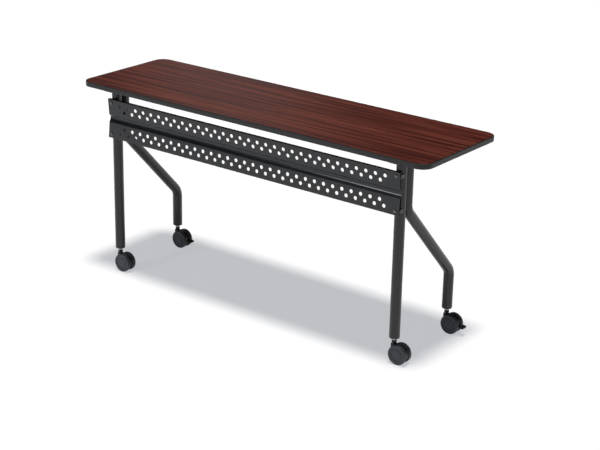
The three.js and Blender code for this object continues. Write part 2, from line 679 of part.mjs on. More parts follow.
// A slot for the brake lever, with the lever's pivot pin left across it
function brakeSlot(body, axleX, y) {
  const [pivotX, pivotZ] = [axleX + BRAKE_PIVOT_X, AXLE_Z + BRAKE_PIVOT_Z];
  const slot = box(
    [pivotX - BRAKE_EYE_R - RUN, axleX + 2 * HOOD_R], around(y, BRAKE_ARM + 2 * RUN),
    [AXLE_Z - HOOD_R, AXLE_Z + BRAKE_SLOT_TOP],
  );
  return join(cut(body, slot), barY(BRAKE_PIN_R, around(y, HOOD_WIDTH), pivotX, pivotZ));
}

function brakeLever(axleX, y) {
  const [pivotX, pivotZ] = [axleX + BRAKE_PIVOT_X, AXLE_Z + BRAKE_PIVOT_Z];
  const armTop = pivotZ + PEDAL_THICK / 2;
  const armHeights = [armTop - PEDAL_THICK, armTop];
  const [pedalStart, pedalEnd] = [axleX + PEDAL_START, axleX + PEDAL_START + PEDAL_LENGTH];
  const plate = alongZ(roundedPlan(PEDAL_LENGTH, PEDAL_WIDTH, PEDAL_ROUND), armHeights)
    .translate((pedalStart + pedalEnd) / 2, y, 0);
  const slope = polygon([
    [pedalStart, armTop], [pedalEnd, armTop - PEDAL_FALL], [pedalEnd + SEAT, armTop - PEDAL_FALL],
    [pedalEnd + SEAT, armTop + SEAT], [pedalStart, armTop + SEAT],
  ]);
  const pedal = cut(plate, alongY(slope, around(y, 2 * PEDAL_WIDTH)));
  return cut(
    join(
      barY(BRAKE_EYE_R, around(y, BRAKE_ARM), pivotX, pivotZ),
      box([pivotX, pedalStart + SEAT], around(y, BRAKE_ARM), armHeights),
      pedal,
    ),
    barY(BRAKE_PIN_R + RUN, around(y, 2 * BRAKE_ARM), pivotX, pivotZ),
  );
}

// A wheel with a rounded tread, a dished outer face and a blind bore on its inner side.
// Its flats are at the wheel's radius, so that one lies on the floor.
function casterWheel(axleX, y, sign) {
  const grow = 1 / Math.cos(Math.PI / WHEEL_SIDES);
  const bore = AXLE_R + RUN;
  const biteEnd = AXLE_BITE + RUN;
  const tread = WHEEL_R * grow;
  const rim = tread - FACE_RIM;
  const face = WHEEL_WIDTH - FACE_DISH;
  const profile = [
    [0, biteEnd], [bore, biteEnd], [bore, 0], [tread - TREAD_ROUND, 0], [tread, TREAD_ROUND],
    [tread, WHEEL_WIDTH - TREAD_ROUND], [tread - TREAD_ROUND, WHEEL_WIDTH], [rim, WHEEL_WIDTH],
    [rim - FACE_DISH, face], [0, face + FACE_DISH / 2],
  ];
  const points = profile.map(([r, across]) => new THREE.Vector2(r, across));
  const halfStep = Math.PI / WHEEL_SIDES;
  const wheel = new THREE.LatheGeometry(points, WHEEL_SIDES, halfStep, 2 * Math.PI);
  if (sign < 0) wheel.rotateX(Math.PI);
  return wheel.translate(axleX, y + sign * (HOOD_WIDTH / 2 + WHEEL_GAP), AXLE_Z);
}

buildTop();
buildLegs();
buildHinges();
buildPanel();
buildStandoffs();
buildReleaseBar();
buildCasters();

export default table;
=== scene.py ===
"""Looks of a flip top training table: laminate top, powder-coated frame, perforated panel, casters.

Metres, +Z up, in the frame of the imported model. -Y is the side with the modesty panel.
"""
import math

import bmesh
import bpy
from mathutils import Matrix, Quaternion, Vector


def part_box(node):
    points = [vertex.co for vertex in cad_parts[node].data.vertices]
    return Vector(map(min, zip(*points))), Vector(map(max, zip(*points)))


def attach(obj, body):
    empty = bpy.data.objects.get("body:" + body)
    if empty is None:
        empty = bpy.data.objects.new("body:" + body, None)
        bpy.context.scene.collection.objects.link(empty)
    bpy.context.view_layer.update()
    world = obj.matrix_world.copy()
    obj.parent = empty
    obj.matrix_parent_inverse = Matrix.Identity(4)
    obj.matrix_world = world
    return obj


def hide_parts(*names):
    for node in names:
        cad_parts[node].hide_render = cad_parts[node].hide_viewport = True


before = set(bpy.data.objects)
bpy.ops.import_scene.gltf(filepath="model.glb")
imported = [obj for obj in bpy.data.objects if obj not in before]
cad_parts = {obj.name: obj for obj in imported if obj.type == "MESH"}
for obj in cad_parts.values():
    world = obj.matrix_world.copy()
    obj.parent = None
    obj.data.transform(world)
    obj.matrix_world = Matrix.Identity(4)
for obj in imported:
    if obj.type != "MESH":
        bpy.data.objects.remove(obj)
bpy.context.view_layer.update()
MM = 0.001

# Tabletop sizes that the frame's boxes don't give
TOP_CORNER_R = 42 * MM
BAND_ROUND = 2.2 * MM
BAND_GAP = 0.2 * MM

# Leg tubes
TUBE_WALL = 1.5 * MM
REAR_BEND_Z = 533.5 * MM
BEND_R = 55 * MM
SLANT = math.radians(43.6)

# Modesty panel
SHEET = 1.5 * MM
PANEL_LEAN = 5.5 * MM
PANEL_FLANGE = 12 * MM
EDGE_FOLD_R = 1.2 * MM
FOLD_R = 2.5 * MM
COVE_R = 26 * MM
GROOVE_HEIGHTS = (13 * MM, 6 * MM, -3 * MM, -16 * MM)
GROOVE_DEPTH = 6.5 * MM
HOLE_R = 6.6 * MM
HOLE_PITCH = 38.1 * MM
OUTER_ROW = 52 * MM
INNER_ROW = 33.2 * MM
OUTER_HOLES = 32
INNER_HOLES = 31
DRILL_LENGTH = 20 * MM

# Panel screws; the drive's length and width are shares of the head's radius
PAN_HEAD = 3.2 * MM
PAN_DOME_SHARE = 0.7
PAN_SHANK_R = 2.3 * MM
DRIVE_LENGTH = 1.1
DRIVE_WIDTH = 0.24
DRIVE_BAR = 3.4 * MM

# Wood screws of the underside. A grid has a node, its columns and their share of the node's width,
# its rows and their share of the depth, and a shift in Y
WOOD_HEAD_R = 4 * MM
WOOD_HEAD = 2.2 * MM
SCREW_SEAT = 3 * MM
SCREW_GRIDS = (
    ("hinge_top_leaf", 2, 0.62, 2, 0.5, 3 * MM),
    ("rod_bracket", 1, 0.0, 2, 0.76, 0.0),
)

# Release bar
ROD_CHAMFER = 0.8 * MM

# Caster wheels. Steps are (place, depth) in millimetres: from the axis on the hub, inwards from
# the rim, and outwards from the middle of the ring groove
WHEEL_R = 35 * MM
WHEEL_SHOULDER = 3.2 * MM
WHEEL_RIM = 4.5 * MM
RING_SHARE = 0.66
HUB_STEPS = ((0, 2), (7, 2), (7.5, 0), (12, 0), (13, 2.5), (27, 2.5), (28, 0))
RIM_STEPS = ((0, 0), (0.7, 0.4), (1.4, 1.8), (2.2, 2.1))
RING_STEPS = ((1.2, 1.4), (0.4, 2.6), (-0.4, 2.6), (-1.2, 1.3))
DISC_DEPTH = 1.0 * MM
CENTRE_DEPTH = 0.9 * MM

# Caster hoods and brakes, from the axle
HOOD_R = 32.5 * MM
HOOD_WIDTH = 13 * MM
HOOD_TOP = 32.5 * MM
HOOD_BACK_Z = 6 * MM
HOOD_BELLY_Z = -15 * MM
HOOD_START = math.radians(-20)
NECK_WIDTH = 20 * MM
TRAIL = 24 * MM
BOSS_R = 8.5 * MM
BOSS_HEIGHT = 12.5 * MM
BOSS_BASE = 8 * MM
BOSS_CHAMFER = 1 * MM
BRAKE_SLOT_SIZE = (46 * MM, 6.4 * MM, 50 * MM)
BRAKE_SLOT_PLACE = Vector((39.5 * MM, 0, -15 * MM))
PEDAL_LENGTH = 13 * MM
PEDAL_FALL = 3 * MM
PEDAL_RISE = 3.5 * MM
RIB_WIDTH = 1.2 * MM
RIB_LENGTH = 19 * MM
RIB_EDGE = 0.4 * MM
RIB_SPAN = 7.5 * MM
RIB_COUNT = 4

# Caster stems and the plugs that hold them, from their lower ends
STEM_R = 5.5 * MM
STEM_PIVOT_R = 3.5 * MM
STEM_COLLAR_LOW = 20.2 * MM
STEM_COLLAR_HIGH = 22.6 * MM
STEM_NUT_R = 7.2 * MM
STEM_NUT_HIGH = 27.4 * MM
STEM_EDGE = 0.6 * MM
STEM_CHAMFER = 1 * MM
PLUG_LIP = 3 * MM
PLUG_SHOULDER = 1.4 * MM
PLUG_BORE_R = 5.7 * MM
PLUG_ROUND = 2 * MM
PLUG_ROUND_MIDDLE = 0.6 * MM

# Widths of rounded-over edges
THIN_EDGE = 0.5 * MM
HOOK_EDGE = 0.6 * MM
PLATE_EDGE = 0.8 * MM
MOULDED_EDGE = 1.2 * MM
PAD_EDGE = 1.5 * MM

# Facets of the smooth pieces
TUBE_SIDES = 48
BEND_STEPS = 16
CORNER_STEPS = 20
WHEEL_SIDES = 72
SHOULDER_STEPS = 6
HOLE_SIDES = 28
SMALL_SIDES = 32
PAN_DOME_STEPS = 8
WOOD_HEAD_SIDES = 20
WOOD_DOME_STEPS = 6
HOOD_STEPS = 30
BOSS_SIDES = 40
MOULDED_SEGMENTS = 3

# Angles in degrees, and distances at which points are one
SMOOTH_ANGLE = 35
BAND_SMOOTH_ANGLE = 40
PANEL_SMOOTH_ANGLE = 28
FLAT_ANGLE = 1
SOFT_ANGLE = 44
HOOD_SOFT_ANGLE = 40
MERGE = 1e-7
CAD_MERGE = 1e-6

# Camera, from the photograph's straight edges; its picture is 600 by 450 pixels
PICTURE_WIDTH = 600
SENSOR = 36.0
FOCAL_PIXELS = 1532.54
CAMERA_PLACE = Vector((3217.35, -4088.51, 2252.42)) * MM
CAMERA_PITCH = 0.3608
CAMERA_YAW = 0.65129
CAMERA_ROLL = 0.02054
CAMERA_FAR = 100

# Light; the horizon's glow fades between two heights of a view's direction
WORLD_LEVEL = 0.06
HORIZON_LEVEL = 0.3
HORIZON_LOW = 0.03
HORIZON_HIGH = 0.12
OVERHEAD_LEVEL = 2.75
OVERHEAD_SPREAD = math.radians(9)
OVERHEAD_PLACE = Vector((0, 0, 3))
OVERHEAD_AIM = Vector((-0.07, 0.055, -1.0))
SIDE_POWER = 16
SIDE_SIZE = (0.36, 0.5)
SIDE_PLACE = Vector((-1.5, -3.5, 1.38))
SIDE_TARGET = Vector((0.5, -0.19, 0.6))
BACK_POWER = 3.1
BACK_SIZE = (1.0, 1.0)
BACK_PLACE = Vector((-2.7, 2.9, 1.85))
BACK_TARGET = Vector((-0.3, 0, 0.74))
FLOOR_REACH = 30
FLOOR_COLOUR = (0.57, 0.565, 0.54, 1)
FLOOR_GLOW = 0.51
FLOOR_GLOW_COLOUR = (0.93, 0.945, 1, 1)

# Sockets of a Mix node that are for colours
MIX_SHARE, MIX_FIRST, MIX_SECOND, MIX_RESULT = 0, 6, 7, 2

SIDES = ("left", "right")
CORNERS = [f"{side}_{end}" for side in SIDES for end in ("front", "rear")]


# Materials

def srgb(red, green, blue):
    """Linear colour of an 8-bit sRGB one."""
    def linear(value):
        value /= 255
        return value / 12.92 if value <= 0.04045 else ((value + 0.055) / 1.055) ** 2.4
    return (linear(red), linear(green), linear(blue), 1.0)


class Finish:
    """A node material with a principled shader, and short calls to add to it."""

    def __init__(self, name, roughness, metallic=0.0, specular=0.5):
        self.material = bpy.data.materials.new(name)
        self.material.use_nodes = True
        self.tree = self.material.node_tree
        self.shader = self.tree.nodes["Principled BSDF"]
        self.shader.inputs["Roughness"].default_value = roughness
        self.shader.inputs["Metallic"].default_value = metallic
        self.shader.inputs["Specular IOR Level"].default_value = specular

    def node(self, kind, **settings):
        made = self.tree.nodes.new(kind)
        for name, value in settings.items():
            setattr(made, name, value)
        return made

    def link(self, output, target):
        self.tree.links.new(output, target)

    def noise(self, scale, detail, roughness, stretch=(1.0, 1.0, 1.0), distortion=0.0):
        """Noise over the object's coordinates, stretched by axis."""
        place = self.node("ShaderNodeTexCoord")
        mapping = self.node("ShaderNodeMapping")
        mapping.inputs["Scale"].default_value = stretch
        self.link(place.outputs["Object"], mapping.inputs["Vector"])
        made = self.node("ShaderNodeTexNoise")
        self.link(mapping.outputs["Vector"], made.inputs["Vector"])
        made.inputs["Scale"].default_value = scale
        made.inputs["Detail"].default_value = detail
        made.inputs["Roughness"].default_value = roughness
        made.inputs["Distortion"].default_value = distortion
        return made.outputs["Fac"]

    def ramp(self, value, *stops):
        made = self.node("ShaderNodeValToRGB")
        bands = made.color_ramp.elements
        while len(bands) < len(stops):
            bands.new(0.5)
        for band, (place, colour) in zip(bands, stops):
            band.position = place
            band.color = colour
        self.link(value, made.inputs["Fac"])
        return made.outputs["Color"]

    def multiply(self, share, first, second):
        """Darkens one colour by another, by a share."""
        made = self.node("ShaderNodeMix", data_type="RGBA", blend_type="MULTIPLY")
        made.inputs[MIX_SHARE].default_value = share
        self.link(first, made.inputs[MIX_FIRST])
        self.link(second, made.inputs[MIX_SECOND])
        return made.outputs[MIX_RESULT]

    def colour(self, output):
        self.link(output, self.shader.inputs["Base Color"])

    def roughness(self, value, low, high):
        made = self.node("ShaderNodeMapRange")
        made.inputs["To Min"].default_value = low
        made.inputs["To Max"].default_value = high
        self.link(value, made.inputs["Value"])
        self.link(made.outputs["Result"], self.shader.inputs["Roughness"])

    def bump(self, height, distance, strength):
        made = self.node("ShaderNodeBump")
        made.inputs["Distance"].default_value = distance
        made.inputs["Strength"].default_value = strength
        self.link(height, made.inputs["Height"])
        self.link(made.outputs["Normal"], self.shader.inputs["Normal"])


def mahogany_laminate():
    """Printed mahogany: fine streaks along X, dark red-brown to tan, under slow changes of tone."""
    finish = Finish("mahogany_laminate", 0.5, specular=0.2)
    slow = finish.noise(
        scale=2.2, detail=3.0, roughness=0.5, stretch=(1.1, 9.0, 1.0), distortion=0.6)
    streaks = finish.noise(
        scale=1.0, detail=1.0, roughness=0.5, stretch=(2.2, 130.0, 1.0), distortion=0.1)
    pores = finish.noise(scale=1.3, detail=3.0, roughness=0.6, stretch=(14.0, 620.0, 1.0))
    figure = finish.ramp(
        streaks, (0.38, srgb(57, 8, 0)), (0.50, srgb(85, 28, 13)), (0.62, srgb(110, 52, 37)))
    ground = finish.ramp(
        slow, (0.30, srgb(240, 234, 230)), (0.52, srgb(248, 246, 245)), (0.72, srgb(255, 255, 255)))
    ticks = finish.ramp(pores, (0.36, srgb(150, 140, 138)), (0.46, srgb(255, 255, 255)))
    shaded = finish.multiply(1.0, figure, ground)
    finish.colour(finish.multiply(0.55, shaded, ticks))
    finish.roughness(streaks, 0.42, 0.55)
    finish.bump(pores, distance=0.00006, strength=0.5)
    return finish.material


def backer_sheet():
    """Brown kraft backing of the underside, with a paper mottle."""
    finish = Finish("backer_sheet", 0.7, specular=0.3)
    fibres = finish.noise(scale=4.0, detail=6.0, roughness=0.7, stretch=(40.0, 60.0, 40.0))
    finish.colour(finish.ramp(fibres, (0.3, srgb(58, 44, 36)), (0.7, srgb(78, 62, 50))))
    finish.roughness(fibres, 0.6, 0.8)
    finish.bump(fibres, distance=0.0002, strength=0.4)
    return finish.material


def powder_coat(name, dark, light):
    """Black powder coat: an orange-peel skin with a faint uneven sheen."""
    finish = Finish(name, 0.45, specular=0.43)
    cloud = finish.noise(scale=14.0, detail=3.0, roughness=0.5)
    peel = finish.noise(scale=1500.0, detail=2.0, roughness=0.5)
    finish.colour(finish.ramp(cloud, (0.3, dark), (0.7, light)))
    finish.roughness(cloud, 0.18, 0.26)
    finish.bump(peel, distance=0.00012, strength=0.2)
    return finish.material


def moulded_plastic(name, dark, light, rough):
    """Moulded black plastic with a fine spark-eroded grain."""
    finish = Finish(name, rough, specular=0.45)
    grain = finish.noise(scale=2600.0, detail=2.0, roughness=0.6)
    cloud = finish.noise(scale=40.0, detail=4.0, roughness=0.6)
    finish.colour(finish.ramp(cloud, (0.3, dark), (0.7, light)))
    finish.roughness(cloud, rough - 0.06, rough + 0.08)
    finish.bump(grain, distance=0.0001, strength=0.3)
    return finish.material


def zinc_plate():
    """Bright zinc with fine turning marks and slight clouding."""
    finish = Finish("zinc_plate", 0.3, metallic=0.5)
    cloud = finish.noise(scale=90.0, detail=5.0, roughness=0.6)
    turning = finish.noise(scale=1.0, detail=2.0, roughness=0.5, stretch=(30.0, 30.0, 2400.0))
    finish.colour(finish.ramp(cloud, (0.3, srgb(206, 208, 210)), (0.7, srgb(232, 234, 236))))
    finish.roughness(cloud, 0.22, 0.4)
    finish.bump(turning, distance=0.00008, strength=0.3)
    return finish.material


def screw_steel():
    """Blackened screw heads, worn to grey."""
    finish = Finish("screw_steel", 0.4, metallic=0.6)
    wear = finish.noise(scale=420.0, detail=4.0, roughness=0.6)
    finish.colour(finish.ramp(wear, (0.35, srgb(96, 98, 100)), (0.65, srgb(150, 152, 154))))
    finish.roughness(wear, 0.3, 0.5)
    finish.bump(wear, distance=0.0001, strength=0.3)
    return finish.material


def pad_rubber():
    """Matt black rubber with a little dust."""
    finish = Finish("pad_rubber", 0.85, specular=0.25)
    dust = finish.noise(scale=300.0, detail=5.0, roughness=0.6)
    finish.colour(finish.ramp(dust, (0.3, srgb(28, 28, 29)), (0.7, srgb(42, 42, 43))))
    finish.roughness(dust, 0.75, 0.95)
    finish.bump(dust, distance=0.0001, strength=0.4)
    return finish.material


MAHOGANY = mahogany_laminate()
BACKER = backer_sheet()
FRAME_COAT = powder_coat("frame_coat", srgb(33, 34, 38), srgb(39, 40, 44))
PANEL_COAT = powder_coat("panel_coat", srgb(30, 33, 39), srgb(36, 39, 45))
BAND_PLASTIC = moulded_plastic("band_plastic", srgb(18, 19, 21), srgb(25, 26, 29), 0.45)
CASTER_PLASTIC = moulded_plastic("caster_plastic", srgb(56, 60, 68), srgb(64, 68, 76), 0.42)
BLACK_PLASTIC = moulded_plastic("black_plastic", srgb(24, 25, 27), srgb(31, 32, 34), 0.5)
ZINC = zinc_plate()
SCREW_STEEL = screw_steel()
RUBBER = pad_rubber()


# Mesh making

def full_turn(sides):
    """Angles once round, in equal steps."""
    return [2 * math.pi * k / sides for k in range(sides)]


def quarter_turn(steps):
    """Angles from 0 to 90 degrees, in equal steps."""
    return [math.pi / 2 * k / steps for k in range(steps + 1)]


def form_of(mesh):
    """A bmesh to go on working with a mesh."""
    form = bmesh.new()
    form.from_mesh(mesh)
    return form


def mesh_of(form, name, smooth_angle=SMOOTH_ANGLE):
    """Turns a bmesh into a mesh whose edges stay sharp above an angle."""
    bmesh.ops.remove_doubles(form, verts=form.verts, dist=MERGE)
    bmesh.ops.recalc_face_normals(form, faces=form.faces)
    for face in form.faces:
        face.smooth = True
    for edge in form.edges:
        edge.smooth = edge.calc_face_angle(math.pi) < math.radians(smooth_angle)
    mesh = bpy.data.meshes.new(name)
    form.to_mesh(mesh)
    form.free()
    return mesh


def loft(rings, closed=False):
    """Skins rings of equal count; an open run of rings is capped at both ends."""
    form = bmesh.new()
    loops = [[form.verts.new(point) for point in ring] for ring in rings]
    pairs = list(zip(loops, loops[1:]))
    if closed:
        pairs.append((loops[-1], loops[0]))
    count = len(loops[0])
    for low, high in pairs:
        for k in range(count):
            form.faces.new((low[k], low[(k + 1) % count], high[(k + 1) % count], high[k]))
    if not closed:
        form.faces.new(loops[0][::-1])
        form.faces.new(loops[-1])
    return form


def turned(profile, centre, axis, sides):
    """A profile of (radius, distance) turned about an axis; it starts and ends on the axis."""
    along = Vector(axis)
    across = along.orthogonal().normalized()
    third = along.cross(across)
    form = bmesh.new()
    rings = []
    for radius, distance in profile:
        middle = Vector(centre) + along * distance
        if radius == 0:
            rings.append([form.verts.new(middle)])
            continue
        rings.append([form.verts.new(middle + radius * (across * math.cos(t) + third * math.sin(t)))
                      for t in full_turn(sides)])
    for low, high in zip(rings, rings[1:]):
        for k in range(sides):
            corners = [low[k % len(low)], low[(k + 1) % len(low)],
                       high[(k + 1) % len(high)], high[k % len(high)]]
            form.faces.new(list(dict.fromkeys(corners)))
    return form


def block(size, place=Matrix()):
    """A plain block of a size, set by a matrix."""
    form = bmesh.new()
    bmesh.ops.create_cube(form, size=1, matrix=place @ Matrix.Diagonal((*size, 1)))
    return form


def rounded(points, radius, steps=5):
    """A closed outline with each corner made an arc."""
    made = []
    for k, corner in enumerate(points):
        before = (Vector(points[k - 1]) - Vector(corner)).normalized()
        after = (Vector(points[(k + 1) % len(points)]) - Vector(corner)).normalized()
        opening = before.angle(after)
        reach = radius / math.tan(opening / 2)
        middle = Vector(corner) + (before + after).normalized() * (radius / math.sin(opening / 2))
        start = Vector(corner) + before * reach - middle
        end = Vector(corner) + after * reach - middle
        for step in range(steps + 1):
            made.append(tuple(middle + radius * start.slerp(end, step / steps)))
    return made


def coat(mesh, material):
    """Makes a material the only one of a mesh."""
    mesh.materials.clear()
    mesh.materials.append(material)


def piece(name, mesh, body, slot, material, *nodes):
    """Places a finished mesh on a body, as what stands for the nodes."""
    coat(mesh, material)
    made = bpy.data.objects.new(name, mesh)
    bpy.context.scene.collection.objects.link(made)
    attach(made, body)
    if nodes:
        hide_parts(*nodes)
    return made


def host_of(mesh):
    """An object that carries a mesh through its modifiers."""
    made = bpy.data.objects.new("host", mesh)
    bpy.context.scene.collection.objects.link(made)
    return made


def plain_mesh(host):
    """The evaluated mesh of an object whose modifiers are then dropped with it."""
    evaluated = host.evaluated_get(bpy.context.evaluated_depsgraph_get())
    mesh = bpy.data.meshes.new_from_object(evaluated)
    bpy.data.objects.remove(host)
    return mesh


def round_edges(host, width, segments, angle):
    """Bevels the edges that turn by more than an angle."""
    bevel = host.modifiers.new("edges", "BEVEL")
    bevel.width = width
    bevel.segments = segments
    bevel.limit_method = "ANGLE"
    bevel.angle_limit = math.radians(angle)


def carved(host, steps):
    """The mesh of a host after joins and cuts by tools; host and tools are then removed."""
    for operation, tool in steps:
        step = host.modifiers.new(operation.lower(), "BOOLEAN")
        step.operation = operation
        step.object = tool
    bpy.context.view_layer.update()
    made = plain_mesh(host)
    for _, tool in steps:
        bpy.data.objects.remove(tool)
    return made


def softened(node, body, slot, material, width, segments=2):
    """A CAD node's own shape with its sharp edges rounded over."""
    form = form_of(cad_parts[node].data)
    bmesh.ops.remove_doubles(form, verts=form.verts, dist=CAD_MERGE)
    bmesh.ops.dissolve_limit(
        form, angle_limit=math.radians(FLAT_ANGLE), verts=form.verts, edges=form.edges)
    host = host_of(mesh_of(form, node + "_soft"))
    round_edges(host, width, segments, SOFT_ANGLE)
    smooth = mesh_of(form_of(plain_mesh(host)), node)
    return piece(node + "_finished", smooth, body, slot, material, node)


# Geometry node trees

class Tree:
    """A geometry node tree with named inputs."""

    def __init__(self, name):
        self.tree = bpy.data.node_groups.new(name, "GeometryNodeTree")
        self.socket("Geometry", "NodeSocketGeometry")
        self.tree.interface.new_socket("Geometry", in_out="OUTPUT", socket_type="NodeSocketGeometry")
        self.start = self.tree.nodes.new("NodeGroupInput")
        self.end = self.tree.nodes.new("NodeGroupOutput")

    def socket(self, name, kind):
        return self.tree.interface.new_socket(name, in_out="INPUT", socket_type=kind)

    def node(self, kind, settings=None, **links):
        made = self.tree.nodes.new(kind)
        for name, value in (settings or {}).items():
            setattr(made, name, value)
        for name, source in links.items():
            self.join(source, made.inputs[name.replace("_", " ")])
        return made

    def join(self, source, target):
        self.tree.links.new(source, target)

    def value(self, name):
        return self.start.outputs[name]

    def finish(self, geometry):
        """Ends in real geometry with the material of the piece."""
        real = self.node("GeometryNodeRealizeInstances", Geometry=geometry)
        dressed = self.node("GeometryNodeSetMaterial", Geometry=real.outputs["Geometry"],
                            Material=self.value("Material"))
        self.join(dressed.outputs["Geometry"], self.end.inputs["Geometry"])

    def run(self, mesh, **values):
        """The mesh that the tree makes from a mesh and its named values."""
        host = host_of(mesh)
        modifier = host.modifiers.new("tree", "NODES")
        modifier.node_group = self.tree
        names = {item.name.replace(" ", "_"): item.identifier
                 for item in self.tree.interface.items_tree if item.in_out == "INPUT"}
        for name, value in values.items():
            modifier[names[name]] = value
        return plain_mesh(host)


def drilled_row_tree():
    """Drills a row of round holes along X through a sheet."""
    made = Tree("drilled_row")
    made.socket("Hole Radius", "NodeSocketFloat")
    made.socket("Hole Pitch", "NodeSocketFloat")
    made.socket("Hole Count", "NodeSocketInt")
    made.socket("Row Middle", "NodeSocketVector")
    made.socket("Drill Length", "NodeSocketFloat")
    made.socket("Material", "NodeSocketMaterial")
    gaps = made.node("ShaderNodeMath", {"operation": "SUBTRACT"})
    made.join(made.value("Hole Count"), gaps.inputs[0])
    gaps.inputs[1].default_value = 1.0
    half = made.node("ShaderNodeMath", {"operation": "MULTIPLY"})
    made.join(gaps.outputs[0], half.inputs[0])
    half.inputs[1].default_value = -0.5
    reach = made.node("ShaderNodeMath", {"operation": "MULTIPLY"})
    made.join(half.outputs[0], reach.inputs[0])
    made.join(made.value("Hole Pitch"), reach.inputs[1])
    first = made.node("ShaderNodeCombineXYZ", X=reach.outputs[0])
    start = made.node("ShaderNodeVectorMath", {"operation": "ADD"})
    made.join(first.outputs[0], start.inputs[0])
    made.join(made.value("Row Middle"), start.inputs[1])
    step = made.node("ShaderNodeCombineXYZ", X=made.value("Hole Pitch"))
    row = made.node("GeometryNodeMeshLine", Count=made.value("Hole Count"),
                    Start_Location=start.outputs[0], Offset=step.outputs[0])
    drill = made.node("GeometryNodeMeshCylinder", {"fill_type": "NGON"},
                      Radius=made.value("Hole Radius"), Depth=made.value("Drill Length"))
    drill.inputs["Vertices"].default_value = HOLE_SIDES
    turn = made.node("GeometryNodeInstanceOnPoints", Points=row.outputs["Mesh"],
                     Instance=drill.outputs["Mesh"])
    turn.inputs["Rotation"].default_value = (math.pi / 2, 0, 0)
    drills = made.node("GeometryNodeRealizeInstances", Geometry=turn.outputs["Instances"])
    cut = made.node("GeometryNodeMeshBoolean", {"operation": "DIFFERENCE", "solver": "EXACT"})
    made.join(made.value("Geometry"), cut.inputs["Mesh 1"])
    made.join(drills.outputs["Geometry"], cut.inputs["Mesh 2"])
    made.finish(cut.outputs["Mesh"])
    return made


def repeat_tree():
    """Repeats a small piece over a grid in X and Y."""
    made = Tree("repeat_grid")
    for name in ("Columns", "Rows"):
        made.socket(name, "NodeSocketInt")
    for name in ("Column Span", "Row Span"):
        made.socket(name, "NodeSocketFloat")
    made.socket("Middle", "NodeSocketVector")
    made.socket("Turn", "NodeSocketVector")
    made.socket("Material", "NodeSocketMaterial")
    grid = made.node("GeometryNodeMeshGrid",
                     Size_X=made.value("Column Span"), Size_Y=made.value("Row Span"),
                     Vertices_X=made.value("Columns"), Vertices_Y=made.value("Rows"))
    place = made.node("GeometryNodeTransform", Geometry=grid.outputs["Mesh"],
                      Translation=made.value("Middle"), Rotation=made.value("Turn"))
    copies = made.node("GeometryNodeInstanceOnPoints", Points=place.outputs["Geometry"],
                       Instance=made.value("Geometry"), Rotation=made.value("Turn"))
    made.finish(copies.outputs["Instances"])
    return made


DRILLED_ROW = drilled_row_tree()
REPEAT = repeat_tree()


# Tabletop

def top_outline(inset, height):
    """The top's rounded outline, drawn in by an inset, at a height."""
    low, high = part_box("edge_band")
    radius = TOP_CORNER_R - inset
    reach_x = (high.x - low.x) / 2 - TOP_CORNER_R
    reach_y = (high.y - low.y) / 2 - TOP_CORNER_R
    made = []
    for quarter, (side_x, side_y) in enumerate(((1, 1), (-1, 1), (-1, -1), (1, -1))):
        for step in range(CORNER_STEPS + 1):
            turn = math.pi / 2 * (quarter + step / CORNER_STEPS)
            made.append((side_x * reach_x + radius * math.cos(turn),
                         side_y * reach_y + radius * math.sin(turn), height))
    return made


def build_top():
    """The laminate sheet, the edge band round it and the backing below."""
    low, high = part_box("top_laminate")
    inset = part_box("edge_band")[1].x - high.x
    sheet = loft([top_outline(inset, low.z), top_outline(inset, high.z)])
    piece("laminate_face", mesh_of(sheet, "laminate_face"),
          "top", "mahogany_laminate", MAHOGANY, "top_laminate")
    low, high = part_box("edge_band")
    wall = inset - BAND_GAP
    outer = rounded([(0, low.z), (2 * wall, low.z), (2 * wall, high.z), (0, high.z)], BAND_ROUND)
    profile = [point for point in outer if point[0] < wall] + [(wall, low.z), (wall, high.z)]
    profile.sort(key=lambda point: math.atan2(point[1] - (low.z + high.z) / 2, point[0] - wall / 2))
    band = loft([top_outline(depth, height) for depth, height in profile], closed=True)
    piece("edge_trim", mesh_of(band, "edge_trim", BAND_SMOOTH_ANGLE),
          "top", "edge_band", BAND_PLASTIC, "edge_band")
    coat(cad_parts["tabletop_board"].data, BACKER)


# Legs

def tube_rings(x, stations, radius):
    """Rings round a path of (y, z, slope from straight down) at one X."""
    rings = []
    for y, z, slope in stations:
        ring = []
        for turn in full_turn(TUBE_SIDES):
            across = radius * math.sin(turn)
            ring.append((x + radius * math.cos(turn),
                         y + across * math.cos(slope), z + across * math.sin(slope)))
        rings.append(ring)
    return rings


def tube_mesh(name, x, stations, radius):
    """A tube with its wall, open at both ends."""
    inner = tube_rings(x, stations, radius - TUBE_WALL)
    return mesh_of(loft(tube_rings(x, stations, radius) + inner[::-1], closed=True), name)


def rear_stations(head_y, foot_y, top, foot):
    """The rear tube's path: down, back along the slant, and down to the caster."""
    tangent = BEND_R * math.tan(SLANT / 2)
    lower_z = REAR_BEND_Z - (foot_y - head_y) / math.tan(SLANT)
    upper = []
    lower = []
    for step in range(BEND_STEPS + 1):
        angle = SLANT * step / BEND_STEPS
        fall = BEND_R * math.sin(angle)
        out = BEND_R * (1 - math.cos(angle))
        upper.append((head_y + out, REAR_BEND_Z + tangent - fall, angle))
        lower.insert(0, (foot_y - out, lower_z - tangent + fall, angle))
    return [(head_y, top, 0), *upper, *lower, (foot_y, foot, 0)]


